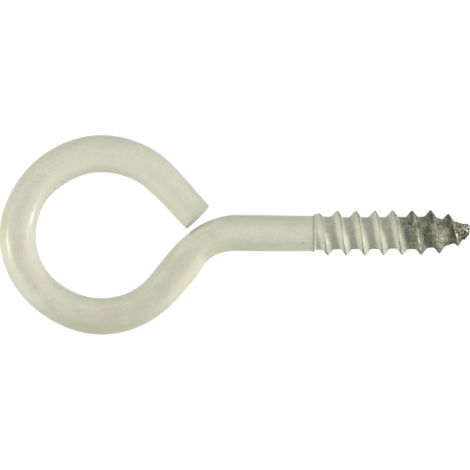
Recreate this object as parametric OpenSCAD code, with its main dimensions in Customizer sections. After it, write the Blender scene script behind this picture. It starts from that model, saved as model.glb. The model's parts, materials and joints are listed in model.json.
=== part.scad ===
// Open screw eye: one length of wire, bent into an eye with a slit, set over the
// screw's axis by an S-bend at the neck, and rolled into a coarse wood thread.
// All sizes are in millimetres. The eye lies flat in the XY plane with its centre
// at the origin, and the screw runs along +X.

/* [Wire] */
// Diameter of the straight wire over its coating
wire_d = 3.82; // [3.2:0.02:4.6]
// Growth in radius where the wire is bent
bend_swell = 0.015; // [0.01:0.005:0.05]

/* [Eye] */
// Inside diameter of the eye
eye_inner_d = 13.7; // [11:0.1:18]
// Height of the screw's axis above the eye's centre, in the plane of the eye
axis_offset = 0.2; // [-1:0.05:1]
// Angle above the screw's axis at which the free end leaves the round of the eye
end_leave_angle = 45; // [36:0.5:54]
// Slit between the cut end and the neck
eye_gap = 0.5; // [0.3:0.05:1.5]
// Diameter of the wire at its cut end
end_d = 3.5; // [3:0.05:3.8]
// Lean of the cut away from square, in degrees
end_cut_lean = 6; // [0:1:12]

/* [Neck] */
// Slope of the neck against the screw's axis, in degrees
neck_angle = 50.5; // [44:0.5:58]
// Bend radius of the neck, to the middle of the wire
neck_bend_r = 7.2; // [5:0.1:8.5]

/* [Shank] */
// Plain length between the neck's bend and the thread
shank_l = 8.1; // [3:0.1:20]

/* [Thread] */
// Length from the end of the plain shank to the tip
thread_l = 16.75; // [11:0.05:30]
// Axial distance between turns
pitch = 2; // [1.6:0.05:2.6]
// Step in radius from the plain shank down to the thread's core
core_step = 0.16; // [0.1:0.01:0.3]
// Height of the ridge above the core
ridge_h = 0.65; // [0.4:0.01:0.8]
// Width of the ridge where it meets the core
ridge_w = 1.3; // [1:0.05:1.5]
// Width of the flat on the crest
crest_w = 0.12; // [0.05:0.01:0.3]
// Length over which the ridge rises to its full height behind the shank
run_in_l = 1.9; // [1:0.1:4]
// Turn about the screw's axis at which the ridge starts, in degrees
start_angle = -90; // [-180:1:180]

/* [Tip] */
// Length of the tapered core, without the nib
taper_l = 2.9; // [1.5:0.1:5]
// Length of the broken-off nib at the very tip
nib_l = 0.75; // [0.4:0.05:1.5]
// Diameter of the nib
nib_d = 1.7; // [1:0.05:2.2]
// Sideways set of the nib's end, across the screw's axis in the plane of the eye
nib_skew = 0.3; // [0:0.05:0.5]
// Length over which the ridge runs out before the nib
run_out_l = 1.4; // [0.8:0.1:2.5]

/* [Hidden] */
$fn = 96;

wire_r = wire_d / 2;
bend_wire_r = wire_r + bend_swell;
eye_r = eye_inner_d / 2 + bend_wire_r;

// Each straight reaches this far into the thicker bend at its end
joint_l = 0.1;

// The straight of the neck touches the eye's circle at one end, and a bend that
// levels it out along the screw's axis at the other.
neck_foot = eye_r * [sin(neck_angle), -cos(neck_angle)];
neck_to_axis = (axis_offset - neck_foot.y) / sin(neck_angle);
bend_tangent = neck_bend_r * tan(neck_angle / 2);
neck_straight_l = neck_to_axis - bend_tangent;
shank_x = neck_foot.x + neck_to_axis * cos(neck_angle) + bend_tangent;
bend_centre = [shank_x, axis_offset - neck_bend_r];

// The free end runs straight on from the eye until the inner corner of its cut is
// one slit away from the outside of the neck's bend.
end_normal = [cos(end_leave_angle), sin(end_leave_angle)];
end_heading = [end_normal.y, -end_normal.x];
corner_from_bend = (eye_r - end_d / 2) * end_normal - bend_centre;
corner_stand_off = neck_bend_r + bend_wire_r + eye_gap;
corner_along = end_heading * corner_from_bend;
corner_across = corner_from_bend * corner_from_bend - corner_stand_off ^ 2;
end_l = -corner_along - sqrt(corner_along ^ 2 - corner_across);
end_cut_l = end_d / 2 * tan(end_cut_lean);

// Stations along the screw's axis, measured from the end of the plain shank
core_r = wire_r - core_step;
shoulder_x = shank_x + shank_l;
nib_x = thread_l - nib_l;
taper_x = nib_x - taper_l;
root_x = -core_step;

// The threaded surface is a grid: stations run round the helix, and each has the
// profile of one turn from mid-root over the ridge, as places along the axis and
// shares of the ridge's height. The last corner is the first of the next turn.
turn_steps = 36;
hollow_x = 0.28 * ridge_w + 0.22 * crest_w;
hollow_share = 0.28;
profile = [
    [-pitch / 2, 0],
    [-ridge_w / 2, 0],
    [-hollow_x, hollow_share],
    [-crest_w / 2, 1],
    [crest_w / 2, 1],
    [hollow_x, hollow_share],
    [ridge_w / 2, 0],
];
corners = len(profile);
stations = ceil(turn_steps * ((nib_x - root_x) / pitch + 1));
first_crest_x = root_x - pitch / 2;
first_turn = start_angle + 360 * first_crest_x / pitch;
nib_rings = 4;

// Share of the full ridge height at a place on the axis: it rises behind the shank,
// follows the taper, and is gone where the nib starts.
function ridge_share(x) =
    x <= 0 ? 0
    : min(1, sqrt(x / run_in_l), max(0, (nib_x - x) / run_out_l));

// Radius of the thread's core at a place on the axis
function core_radius(x) =
    let (share = max(0, min(1, (x - taper_x) / taper_l)))
    core_r + share * (nib_d / 2 - core_r);

// A point at one of the steps of a turn about the screw's axis
function on_screw(x, radius, station, side = 0) =
    let (turn = first_turn + 360 * (station % turn_steps) / turn_steps)
    [x, radius * cos(turn) + side, radius * sin(turn)];

// A point of the grid, held between the root inside the shank and the nib
function grid_point(station, corner) =
    let (
        crest_x = first_crest_x + pitch * station / turn_steps,
        x = max(root_x, min(nib_x, crest_x + corner[0])),
        radius = core_radius(x) + ridge_h * corner[1] * ridge_share(x)
    )
    on_screw(x, radius, station);

// A point of the nib: its rings close on a rounded end that leans to one side
function nib_point(ring, station) =
    let (bow = 90 * ring / nib_rings)
    on_screw(nib_x + nib_l * sin(bow), nib_d / 2 * cos(bow), station, nib_skew * sin(bow));

// Index of a grid point, where a station's last corner belongs to the next turn
function grid_index(station, corner) =
    corner < corners
    ? station * corners + corner
    : (station + turn_steps) * corners;

// The two triangles of a cell, from its corners in order
function cell(a, b, c, d) = [[a, b, c], [a, c, d]];

// Is the face a true triangle, with no two of its points in one place?
function is_triangle(points, face) =
    points[face[0]] != points[face[1]]
    && points[face[1]] != points[face[2]]
    && points[face[2]] != points[face[0]];

// A straight of wire from the origin, reaching back into the bend behind it and on
// into what follows
module straight_wire(heading, length, end_r, reach) {
    rotate([0, 0, heading])
        rotate([0, 90, 0])
            translate([0, 0, -joint_l])
                cylinder(h = joint_l + length + reach, r1 = wire_r, r2 = end_r);
}

module bent_wire(bend_r, from, sweep) {
    rotate([0, 0, from])
        rotate_extrude(angle = sweep)
            translate([bend_r, 0])
                circle(r = bend_wire_r);
}

module eye_round() {
    bent_wire(eye_r, end_leave_angle, 270 + neck_angle - end_leave_angle);
}

// The straight free end, drawn down a little by the cut, which leans off square
module free_end() {
    translate(eye_r * end_normal)
        difference() {
            straight_wire(end_leave_angle - 90, end_l, end_d / 2, end_cut_l);
            rotate([0, 0, end_leave_angle - 90])
                translate([end_l, 0, 0])
                    rotate([0, -end_cut_lean, 0])
                        translate([0, -wire_d, -wire_d])
                            cube(2 * wire_d);
        }
}

module neck() {
    translate(neck_foot)
        straight_wire(neck_angle, neck_straight_l, wire_r, joint_l);
    translate(bend_centre)
        bent_wire(neck_bend_r, 90, neck_angle);
}

module shank() {
    translate([shank_x, axis_offset, 0])
        straight_wire(0, shank_l, wire_r, 0);
}

module thread() {
    grid = [
        for (station = [0 : stations + turn_steps])
            for (corner = profile)
                grid_point(station, corner)
    ];
    nib = [
        for (ring = [0 : nib_rings - 1])
            for (station = [0 : turn_steps])
                nib_point(ring, station)
    ];
    nib_row = turn_steps + 1;
    nib_start = len(grid);
    apex = nib_start + len(nib);
    points = concat(grid, nib, [nib_point(nib_rings, 0)]);
    ridge_faces = [
        for (station = [0 : stations - 1])
            for (corner = [0 : corners - 1])
                each cell(
                    grid_index(station, corner),
                    grid_index(station, corner + 1),
                    grid_index(station + 1, corner + 1),
                    grid_index(station + 1, corner)
                )
    ];
    nib_faces = [
        for (row = [nib_start : nib_row : apex - 2 * nib_row])
            for (i = [row : row + turn_steps - 1])
                each cell(i, i + nib_row, i + nib_row + 1, i + 1)
    ];
    apex_faces = [for (i = [apex - nib_row : apex - 2]) [i, apex, i + 1]];
    root_cap = [for (station = [0 : turn_steps - 1]) station * corners];
    faces = [
        for (face = concat(ridge_faces, nib_faces, apex_faces))
            if (is_triangle(points, face)) face
    ];
    translate([shoulder_x, axis_offset, 0])
        polyhedron(points, concat(faces, [root_cap]), convexity = 10);
}

module screw_eye() {
    color("#cdcdb8")
        union() {
            free_end();
            eye_round();
            neck();
            shank();
            thread();
        }
}

screw_eye();
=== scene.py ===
"""The looks of the open screw eye: one bent wire in an ivory coat, its thread bare towards the point."""

import json
import math

import bpy
import bmesh
import numpy as np
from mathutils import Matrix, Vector, noise


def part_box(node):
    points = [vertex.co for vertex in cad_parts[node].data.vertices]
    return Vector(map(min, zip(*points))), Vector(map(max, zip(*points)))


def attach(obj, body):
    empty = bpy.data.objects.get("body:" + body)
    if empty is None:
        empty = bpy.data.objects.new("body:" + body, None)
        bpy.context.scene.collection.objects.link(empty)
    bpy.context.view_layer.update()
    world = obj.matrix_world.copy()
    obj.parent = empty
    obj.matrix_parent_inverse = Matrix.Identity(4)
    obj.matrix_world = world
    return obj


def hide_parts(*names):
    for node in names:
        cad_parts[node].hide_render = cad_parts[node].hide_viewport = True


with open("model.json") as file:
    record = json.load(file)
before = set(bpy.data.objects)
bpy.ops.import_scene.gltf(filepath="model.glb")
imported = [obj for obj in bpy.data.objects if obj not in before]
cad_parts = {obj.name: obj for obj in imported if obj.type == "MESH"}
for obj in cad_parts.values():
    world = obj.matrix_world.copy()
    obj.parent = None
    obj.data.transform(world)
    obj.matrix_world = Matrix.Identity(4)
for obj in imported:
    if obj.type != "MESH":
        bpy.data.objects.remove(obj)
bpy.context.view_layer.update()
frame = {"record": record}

MM = 0.001

# Wire, in millimetres and degrees
WIRE_R = 1.91
BEND_SWELL = 0.015
SWELL_SOFT = 0.6
NECK_ANGLE = 50.5
NECK_BEND_R = 7.2
SHANK_L = 8.1
END_LEAVE_ANGLE = 45.0
EYE_GAP = 0.5

# Cut end: its lean, rolled edge and hollow face, and how far the coat is worn there
END_R = 1.75
END_CUT_LEAN = 4.0
END_LEAN_L = 2.5
END_EDGE_R = 0.12
END_EDGE_BOWS = (18, 36, 54, 72, 90)
END_HOLLOW = 0.04
END_FACE_SHARES = (0.93, 0.8, 0.62, 0.45, 0.28, 0.12)
END_FACE_WEAR = 0.5
END_WEAR = 0.85
END_WEAR_INSIDE = 0.35
END_TONE = 0.1

# Shoulder: the lip that the rolling raised, its waves (size, count, shift), the groove behind it, darkened
# with painted shade, and painted light on the step at the shoulder's foot
LIP_H = 0.07
LIP_LEAN = 0.7
LIP_WAVES = ((0.35, 3, 0.9), (0.2, 7, 2.0))
LIP_FALL = (0.2, 0.04)
LIP_STATIONS = (0.0, 0.03, 0.06, 0.1, 0.15, 0.2)
GROOVE_SHADE = 0.9
GROOVE_LEAN = 0.2
GROOVE = (0.0, 0.03, 0.12, 0.19)
# Painted light on the step down at the shoulder
SHOULDER_FOOT = 0.6

# Hand of the bender: (distance along the wire from the shoulder, sideways set), outwards on the eye
WANDER = (
    (0, 0.05), (6, 0.0), (11.3, -0.05), (15, 0.085), (21, 0.055), (25.5, 0.0), (32, -0.11), (34.6, 0.0),
    (40, 0.085), (44, -0.02), (49.5, -0.135), (53, -0.03), (56.5, 0.035), (62, 0.215), (66.9, 0.0),
)

# Squeeze of the bends: (distance along the wire, growth in half width), and what the height gives up for it
GIRTH = (
    (0, 0.0), (8.5, 0.025), (12.6, -0.115), (15.5, 0.04), (19.6, -0.02), (26, 0.045), (32.5, -0.04),
    (41.5, 0.015), (44.7, -0.055), (47.5, 0.01), (57, 0.06), (61.3, -0.035), (66.9, 0.0),
)
GIRTH_TO_HEIGHT = 0.4

# Wander of the screw's point: (place along the axis, sideways set), and the lean before and in the nib
POINT_WANDER = (
    (24.0, 0.0), (29.0, 0.0), (31.2, 0.035), (32.4, 0.05), (33.2, 0.0), (34.4, 0.05), (35.8, 0.11),
    (36.8, 0.03), (37.7, 0.08), (40.0, 0.09),
)
LEAN_BEFORE_NIB = 0.06
LEAN_BEFORE_L = 1.5
LEAN_IN_NIB = 0.26
LEAN_PAST_TIP = 0.1

# Uneven rolling: (turns of the thread, set of the ridge along the axis)
RIDGE_SET = (
    (0.0, 0.0), (2.0, 0.0), (2.5, 0.0), (3.0, 0.05), (3.5, 0.02), (4.0, -0.04), (4.5, 0.0), (6.5, 0.0),
    (7.0, -0.06), (7.5, 0.0), (9.5, 0.0),
)

# Thread and point, in millimetres and degrees
PITCH = 2.0
CORE_R = 1.71
CORE_SLOPE = (0.3, -0.1)
CORE_SWELLS = ((0.04, 26.0, 24.5), (0.05, 25.0, 24.0))
RIDGE_H = 0.7
RUN_IN_L = 1.9
START_ANGLE = -90.0
NIB_L = 0.75
NIB_R = 0.85
NIB_ROUNDING = 0.72
TAPER_L = 4.3
TAPER_CURVE = 1.9
RUN_OUT_L = 0.6
LAST_TURN_DRIFT = 0.19
DRIFT_BEFORE_NIB = (1.5, 0.5)

# Profile of the ridge: slopes of its flanks, round of its crest and hollow of its feet, coated and bared
SHANK_SLOPE = 1.2
SHANK_SLOPE_BARED = 0.2
SHANK_SLOPE_LOW = 0.3
POINT_SLOPE = 1.7
POINT_SLOPE_BARED = -0.3
CREST_ROUND = 0.07
CREST_ROUND_BARED = -0.03
FOOT_HOLLOW = 0.16
FOOT_FILL = 0.1
FOOT_SETTLE = 0.25 / 1.1
ROOT_MARGIN = 0.15
BARED_PAST_DIP = (-2.5, 1.5)

# Uneven ridges: two with a stepped flank, a lean on the lower side of the coated ones, and a low eighth one
STEPPED_FLANKS = ((0, 1.7), (3, 0.9))
STEPPED_SIDES = (0.02, 0.14)
LEANT_SLOPE = 0.65
LEANT_SIDES = (-0.5, 0.15)
LEANT_LOSS_LOW = 0.6
LOW_SIDES = (0.7, 1.0)
LOW_RIDGE = 0.045
LOW_RIDGE_TURNS = (6.75, 6.95, 7.1, 7.3)

# Where the coat ends: a slanted dip line across the fifth turn
DIP_X = 32.55
DIP_SLANT = math.tan(math.radians(15.3))

# Forged and torn skin of the steel: height, size of the lumps, where it comes in, and its noise
FORGED_H = 0.028
FORGED_SIZE = 0.32
FORGED_SEED = 3
FORGED_PAST_DIP = (-0.3, 0.6)
TORN_H = 0.085
TORN_SIZE = 0.34
TORN_SEED = 7
TORN_LUMPS = (-0.5, 0.25)
TORN_RISE = (-0.35, 0.1)
SEED_SHIFT = (17.3, 5.1, 9.7)
GRAIN_FADE = 0.9
GRAIN_STEP = 2.0
GRAIN_OCTAVES = 3
NEAR_AXIS = 0.05

# Fineness of the mesh
RING_POINTS = 128
WIRE_STEP = 0.3
PROFILE_POINTS = 34
PROFILE_CROWDING = 1.35
SPARE_TURNS = 1.5
NIB_RINGS = 18
WELD = 2e-7
FLAT = 1e-7

# The photograph's frame: pixels across, and millimetres to the pixel
PHOTO_W = 470
MM_PER_PIXEL = 0.1076
PHOTO_CENTRE = (14.526, 0.005)
CAMERA_HEIGHT = 420.0
SENSOR_W = 36.0
CLIP_START = 0.01

mounts = {m["name"]: m for m in frame["record"]["mounts"]}
SHOULDER_X, AXIS_Y, _ = (v / MM for v in mounts["screw_thread"]["pos_m"])
solid_low, solid_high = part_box("screw_eye")
TIP_X = solid_high.x / MM
FLOOR_Z = solid_low.z
BEND_WIRE_R = WIRE_R + BEND_SWELL
EYE_R = -solid_low.x / MM - BEND_WIRE_R
NIB_X = TIP_X - NIB_L
TAPER_X = NIB_X - TAPER_L
TURN = np.linspace(0, 2 * math.pi, RING_POINTS, endpoint=False)


def smooth(value, low, high):
    """Rises smoothly from 0 at low to 1 at high."""
    share = np.clip((np.asarray(value, float) - low) / (high - low), 0, 1)
    return share * share * (3 - 2 * share)


def soft_line(value, middle, width):
    """One on a soft line through the middle value, fading to 0 beside it."""
    return np.exp(-(((value - middle) / width) ** 2))


def between(value, start, full, fade, end):
    """Rises smoothly to 1 from start to full, and falls to 0 again from fade to end."""
    return smooth(value, start, full) * smooth(value, end, fade)


def stretch(run, start, end, soft, soft_end=None):
    """One along a stretch of the wire, falling to 0 past its ends."""
    fade = soft if soft_end is None else soft_end
    return between(run, start - soft, start + soft, end - fade, end + fade)


def through(table, run):
    """A smooth curve through a short table of places and values."""
    at, value = np.array(table).T
    slope = np.gradient(value, at)
    i = np.clip(np.searchsorted(at, run) - 1, 0, len(at) - 2)
    gap = at[i + 1] - at[i]
    t = np.clip((run - at[i]) / gap, 0, 1)
    rise = t * t * (3 - 2 * t)
    bow = gap * (t * (1 - t) ** 2 * slope[i] - t * t * (1 - t) * slope[i + 1])
    return value[i] * (1 - rise) + value[i + 1] * rise + bow


def grain(points, size, seed, octaves=GRAIN_OCTAVES):
    """Seeded rough noise of about -1 to 1 at each point, with features of the given size in millimetres."""
    shift = Vector([seed * step for step in SEED_SHIFT])
    spots = (Vector(p) / size + shift for p in points)
    return np.array([noise.fractal(spot, GRAIN_FADE, GRAIN_STEP, octaves) for spot in spots])


class Skin:
    """The points and faces of the one skin, with what the finish needs to know at each point."""

    FINISH = ("thin_coat", "root", "foot", "tone", "warm", "yellow", "grime", "polish", "torn")

    def __init__(self):
        self.points = []
        self.unrolled = []
        self.finish = {name: [] for name in self.FINISH}
        self.faces = []
        self.count = 0

    def add(self, points, unrolled, **finish):
        """Adds points and returns the number of the first."""
        start = self.count
        self.points.append(points)
        self.unrolled.append(unrolled)
        for name in self.FINISH:
            self.finish[name].append(np.broadcast_to(finish.get(name, 0.0), len(points)))
        self.count += len(points)
        return start

    def join_rings(self, first, second):
        for i in range(RING_POINTS):
            j = (i + 1) % RING_POINTS
            self.faces.append((first + i, first + j, second + j, second + i))

    def close(self, last, middle):
        for i in range(RING_POINTS):
            self.faces.append((last + i, last + (i + 1) % RING_POINTS, middle))


def end_length():
    """Length of the straight free end, up to the slit before the neck's bend."""
    leave = math.radians(END_LEAVE_ANGLE)
    normal = np.array([math.cos(leave), math.sin(leave)])
    heading = np.array([normal[1], -normal[0]])
    bend_centre = np.array([SHOULDER_X - SHANK_L, AXIS_Y - NECK_BEND_R])
    corner = (EYE_R - END_R) * normal - bend_centre
    along = heading @ corner
    stand_off = NECK_BEND_R + BEND_WIRE_R + EYE_GAP
    return -along - math.sqrt(along**2 - corner @ corner + stand_off**2)


def neck_length():
    """Length of the neck's straight, between the eye and the bend."""
    slope = math.radians(NECK_ANGLE)
    return (AXIS_Y + EYE_R * math.cos(slope)) / math.sin(slope) - NECK_BEND_R * math.tan(slope / 2)


# Stretches of the wire from the shoulder back to the cut end: (length, curve)
STRETCHES = {
    "shank": (SHANK_L, 0),
    "bend": (math.radians(NECK_ANGLE) * NECK_BEND_R, 1 / NECK_BEND_R),
    "neck": (neck_length(), 0),
    "eye": (math.radians(270 + NECK_ANGLE - END_LEAVE_ANGLE) * EYE_R, -1 / EYE_R),
    "free_end": (end_length(), 0),
}
WIRE_L = sum(length for length, _ in STRETCHES.values())
EYE_FROM = SHANK_L + STRETCHES["bend"][0] + STRETCHES["neck"][0]
EYE_TO = WIRE_L - STRETCHES["free_end"][0]

# Tone of the coat along the wire from the shoulder: a dull and a clean stretch (start, end, softness)
DULL_STRETCH = (14.5, 29.0, 1.5, 3.0)
DULL_TONE = -0.28
CLEAN_STRETCH = (46.5, 64.5, 3.0)
CLEAN_TONE = 0.42
# Painted light on the inner side of the eye: where it comes in, and how much it lightens the coat
INSIDE_RISE = (EYE_FROM - 2, EYE_FROM + 3)
INSIDE_LIGHT = 0.33

# Patches of painted light and shade, and a lighter patch on the outer limb: stretch of the wire, tone, and
# the band across it from -1, inside, to 1, outside
TONE_AND_LIGHT_PATCHES = {
    # Painted highlight along the neck's outer side
    "painted highlight on the neck": ((13.2, 21.0, 0.25, 2.0), 0.45, (0.25, 0.65)),
    # Lighter coat on the outer side of the lower left limb
    "lighter outer limb": ((32.0, 39.6, 0.9), 0.55, (0.1, 0.45)),
    # Painted shade on the outer side of the eye's crown
    "painted shade on the crown": ((43.5, 52.5, 2.0), -0.3, (0.35, 0.8)),
    # Painted light on the bend beside the slit, over the free end's shadow
    "painted light by the slit": ((10.0, 12.0, 0.9), 0.95, (-0.5, -0.8)),
    # Painted shade in the crease of the neck's bend
    "painted shade in the neck's crease": ((11.7, 12.7, 0.5), -0.5, (0.45, 0.75)),
    # Painted bounce light on the inner side of the eye's floor
    "painted bounce light on the eye's floor": ((24.5, 29.5, 1.5), 0.28, (-0.2, -0.6)),
}

# A lengthwise dirty streak, and a painted highlight along the inner limb: stretch of the wire, tone, and the
# line across it (middle, width)
STREAK_AND_HIGHLIGHT = {
    "dirty streak": ((36.2, 40.5, 0.8), -0.25, (0.24, 0.1)),
    # Painted highlight where the right lamp's reflection runs along the inner limb
    "painted highlight on the inner limb": ((41.7, 46.3, 0.9), 0.55, (-0.69, 0.14)),
}

# Painted light on the inner brim of the eye, painted shade on the wire's sides elsewhere, darker coat before
# the cut, and bands of painted light and shade along the shank
BRIM_STRETCH = (35.5, 46.0, 1.5)
BRIM_BAND = (-0.6, -0.95)
BRIM_LIGHT = 0.5
SIDE_BAND = (0.8, 0.97)
SIDE_SHADE = -0.35
CUT_RISE = (WIRE_L - 0.7, WIRE_L - 0.2)
CUT_BAND = (0.9, 0.6)
CUT_TONE = -0.35
SHANK_STRETCH = (0.0, 1.5, 8.5, 12.0)
SHANK_LOW_LINE = (0.3, 0.2)
SHANK_LOW_SHADE = -0.2
SHANK_MIDDLE_BAND = (0.6, 0.1)
SHANK_MIDDLE_LIGHT = 0.25
SHANK_SIDE_SHIFT = 0.1
SHANK_SIDE_BAND = (0.35, 0.95)
SHANK_SIDE_SHADE = -0.42

# Hue of the coat: warm on the shank and the limb, green on the round, yellowed on the outside
INSIDE_BAND = (0.1, 0.5)
OUTSIDE_BAND = (0.2, 0.6)
WARM_SHANK_FALL = (11.5, 7.5)
GREEN_SHANK = 0.5
GREEN_SHANK_FALL = (7.0, 5.0)
GREEN_ROUND_STRETCH = (13.2, 29.0, 2.0)
GREEN_ROUND = 0.35
GREEN_ROUND_INSIDE = 0.7
GREEN_FLOOR_STRETCH = (24.0, 28.5, 1.5)
GREEN_FLOOR = 0.7
WARM_LIMB_STRETCH = (41.0, 46.0, 1.5)
WARM_LIMB = 0.6
YELLOW_STRETCHES = (((9.5, 18.5, 1.5), 0.7), ((23.5, 29.0, 1.5), 0.7), ((35.5, 42.0, 1.5), 1.0))
YELLOW_NECK_STRETCH = (13.2, 20.0, 1.5)
YELLOW_NECK = 0.2
YELLOW_END_RISE = (WIRE_L - 5.0, WIRE_L - 3.0)
YELLOW_END = 0.5


def walk_wire():
    """Stations along the wire's middle from the shoulder back to the cut end: distance, place and heading."""
    place = np.array([SHOULDER_X, AXIS_Y])
    heading = math.pi
    run = 0.0
    back = np.array([-1.0, 0.0])
    stations = [(r, place + r * back, heading) for r in LIP_STATIONS]
    for length, curve in STRETCHES.values():
        steps = round(length / WIRE_STEP)
        step = length / steps
        for _ in range(steps):
            middle = heading + curve * step / 2
            chord = step if curve == 0 else 2 / abs(curve) * math.sin(abs(curve) * step / 2)
            place = place + chord * np.array([math.cos(middle), math.sin(middle)])
            heading += curve * step
            run += step
            stations.append((run, place, heading))
    return stations


def wire_radius(run):
    """Radius of the wire at a place along it: it swells in the bends and is drawn down at the cut end."""
    bends = smooth(run, SHANK_L - SWELL_SOFT, SHANK_L + SWELL_SOFT)
    drawn = np.clip((run - EYE_TO) / (WIRE_L - EYE_TO), 0, 1)
    return WIRE_R + BEND_SWELL * bends + (END_R - BEND_WIRE_R) * drawn


def wire_ring(run, place, heading, radius, girth=0.0, along=0.0):
    """A ring of points round the wire, each moved along it by its own amount, and its unrolled places."""
    across = np.array([math.sin(heading), -math.cos(heading)])
    middle = place - across * through(WANDER, run)
    side = (radius + girth) * np.cos(TURN)
    points = np.zeros((RING_POINTS, 3))
    points[:, 0] = middle[0] + across[0] * side + along * math.cos(heading)
    points[:, 1] = middle[1] + across[1] * side + along * math.sin(heading)
    points[:, 2] = (radius - GIRTH_TO_HEIGHT * girth) * np.sin(TURN)
    unrolled = np.stack([run + along + 0 * TURN, radius * np.cos(TURN), radius * np.sin(TURN)], 1)
    return points, unrolled


def coat_tone(run):
    """How much cleaner or duller the coat is round the wire at a place along it, with painted light on the
    eye's inner side.
    """
    inside = np.cos(TURN)
    tone = DULL_TONE * stretch(run, *DULL_STRETCH) + CLEAN_TONE * stretch(run, *CLEAN_STRETCH)
    return tone + INSIDE_LIGHT * smooth(run, *INSIDE_RISE) * inside


def patch_tone_and_light(run):
    """Patches and streaks of painted light and shade round the wire at a place along it, with a lighter
    patch, a dirty streak and darker coat before the cut.
    """
    outside = -np.cos(TURN)
    side = np.abs(outside)
    tone = 0 * outside
    for where, amount, band in TONE_AND_LIGHT_PATCHES.values():
        tone = tone + amount * stretch(run, *where) * smooth(outside, *band)
    for where, amount, line in STREAK_AND_HIGHLIGHT.values():
        tone = tone + amount * stretch(run, *where) * soft_line(outside, *line)
    # Painted light on the inner brim of the eye, and painted shade on the wire's sides elsewhere
    on_brim = stretch(run, *BRIM_STRETCH) * smooth(outside, *BRIM_BAND)
    tone = tone + BRIM_LIGHT * on_brim + SIDE_SHADE * smooth(side, *SIDE_BAND) * (1 - on_brim)
    tone = tone + CUT_TONE * smooth(run, *CUT_RISE) * smooth(outside, *CUT_BAND)
    # Painted shade low on the shank and at its sides, and painted light along its middle
    on_shank = between(run, *SHANK_STRETCH)
    tone = tone + SHANK_LOW_SHADE * on_shank * soft_line(outside, *SHANK_LOW_LINE)
    tone = tone + SHANK_MIDDLE_LIGHT * on_shank * smooth(side, *SHANK_MIDDLE_BAND)
    shank_side = smooth(np.abs(outside + SHANK_SIDE_SHIFT), *SHANK_SIDE_BAND)
    return tone + SHANK_SIDE_SHADE * on_shank * shank_side


def coat_hue(run):
    """How warm or green, and how yellowed, the coat is round the wire at a place along it."""
    inside = smooth(np.cos(TURN), *INSIDE_BAND)
    outside = smooth(-np.cos(TURN), *OUTSIDE_BAND)
    warm = smooth(run, *WARM_SHANK_FALL) * (np.cos(TURN) - GREEN_SHANK * smooth(run, *GREEN_SHANK_FALL))
    warm = warm - stretch(run, *GREEN_ROUND_STRETCH) * (GREEN_ROUND + GREEN_ROUND_INSIDE * inside)
    warm = warm - GREEN_FLOOR * outside * stretch(run, *GREEN_FLOOR_STRETCH)
    warm = warm + WARM_LIMB * (1 - inside) * stretch(run, *WARM_LIMB_STRETCH)
    yellow = outside * max(amount * stretch(run, *where) for where, amount in YELLOW_STRETCHES)
    yellow = yellow + YELLOW_NECK * (1 - outside) * stretch(run, *YELLOW_NECK_STRETCH)
    yellow = yellow + YELLOW_END * inside * smooth(run, *YELLOW_END_RISE)
    return warm, yellow


def lay_wire(skin):
    """The plain wire from the shoulder round the eye to its cut end. Returns the ring at the shoulder."""
    waves = sum(size * np.sin(TURN * count + shift) for size, count, shift in LIP_WAVES)
    lip = LIP_H * (1 - LIP_LEAN * np.cos(TURN) + waves)
    lean = math.tan(math.radians(END_CUT_LEAN))
    rings = []
    for run, place, heading in walk_wire():
        radius = wire_radius(run) + lip * smooth(run, *LIP_FALL)
        along = -radius * np.sin(TURN) * lean * smooth(run, WIRE_L - END_LEAN_L, WIRE_L)
        points, unrolled = wire_ring(run, place, heading, radius, through(GIRTH, run), along)
        # Painted shade in the groove behind the lip, carried with the thin coat
        thin_and_shaded = (GROOVE_SHADE - GROOVE_LEAN * np.cos(TURN)) * between(run, *GROOVE)
        tone = coat_tone(run) + patch_tone_and_light(run)
        warm, yellow = coat_hue(run)
        rings.append(skin.add(points, unrolled, thin_coat=thin_and_shaded, tone=tone, warm=warm, yellow=yellow))
    for a, b in zip(rings, rings[1:]):
        skin.join_rings(a, b)
    cap_end(skin, rings[-1], place, heading)
    return rings[0]


def cap_end(skin, last_ring, place, heading):
    """The sheared end: a softly rolled edge and a slightly hollow face, worn most at the edge."""
    lean = math.tan(math.radians(END_CUT_LEAN))
    steps = []
    for bow in np.radians(END_EDGE_BOWS):
        rolled_in = END_EDGE_R * (1 - math.cos(bow))
        steps.append((END_R - rolled_in, END_EDGE_R * math.sin(bow), math.sin(2 * bow)))
    for share in END_FACE_SHARES:
        steps.append((share * (END_R - END_EDGE_R), END_EDGE_R - END_HOLLOW * (1 - share), END_FACE_WEAR))
    worn_edge = END_WEAR + END_WEAR_INSIDE * np.cos(TURN)
    previous = last_ring
    for radius, out, thin in steps:
        along = out - radius * np.sin(TURN) * lean
        points, unrolled = wire_ring(WIRE_L, place, heading, radius + 0 * TURN, 0.0, along)
        new = skin.add(points, unrolled, thin_coat=thin * worn_edge, tone=END_TONE)
        skin.join_rings(previous, new)
        previous = new
    middle = points.mean(0, keepdims=True)
    skin.close(previous, skin.add(middle, np.array([[WIRE_L, 0, 0]])))


def core_radius(x):
    """Radius of the thread's core: a short slope behind the lip, a straight core, then the tapered point."""
    foot, top = CORE_SLOPE
    slope = (WIRE_R - CORE_R) * smooth(x, SHOULDER_X + foot, SHOULDER_X + top)
    slope = slope + sum(size * smooth(x, end, full) for size, end, full in CORE_SWELLS)
    taper = np.clip((x - TAPER_X) / TAPER_L, 0, 1) ** TAPER_CURVE
    return CORE_R + slope + (NIB_R - CORE_R) * taper


def crest_place(turns):
    """Place of the crest along the axis after so many turns: the last turn is drawn out over the point."""
    even = SHOULDER_X - PITCH * START_ANGLE / 360 + PITCH * turns
    begin, end = DRIFT_BEFORE_NIB
    return even + through(RIDGE_SET, turns) + LAST_TURN_DRIFT * smooth(even, NIB_X - begin, NIB_X - end)


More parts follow.
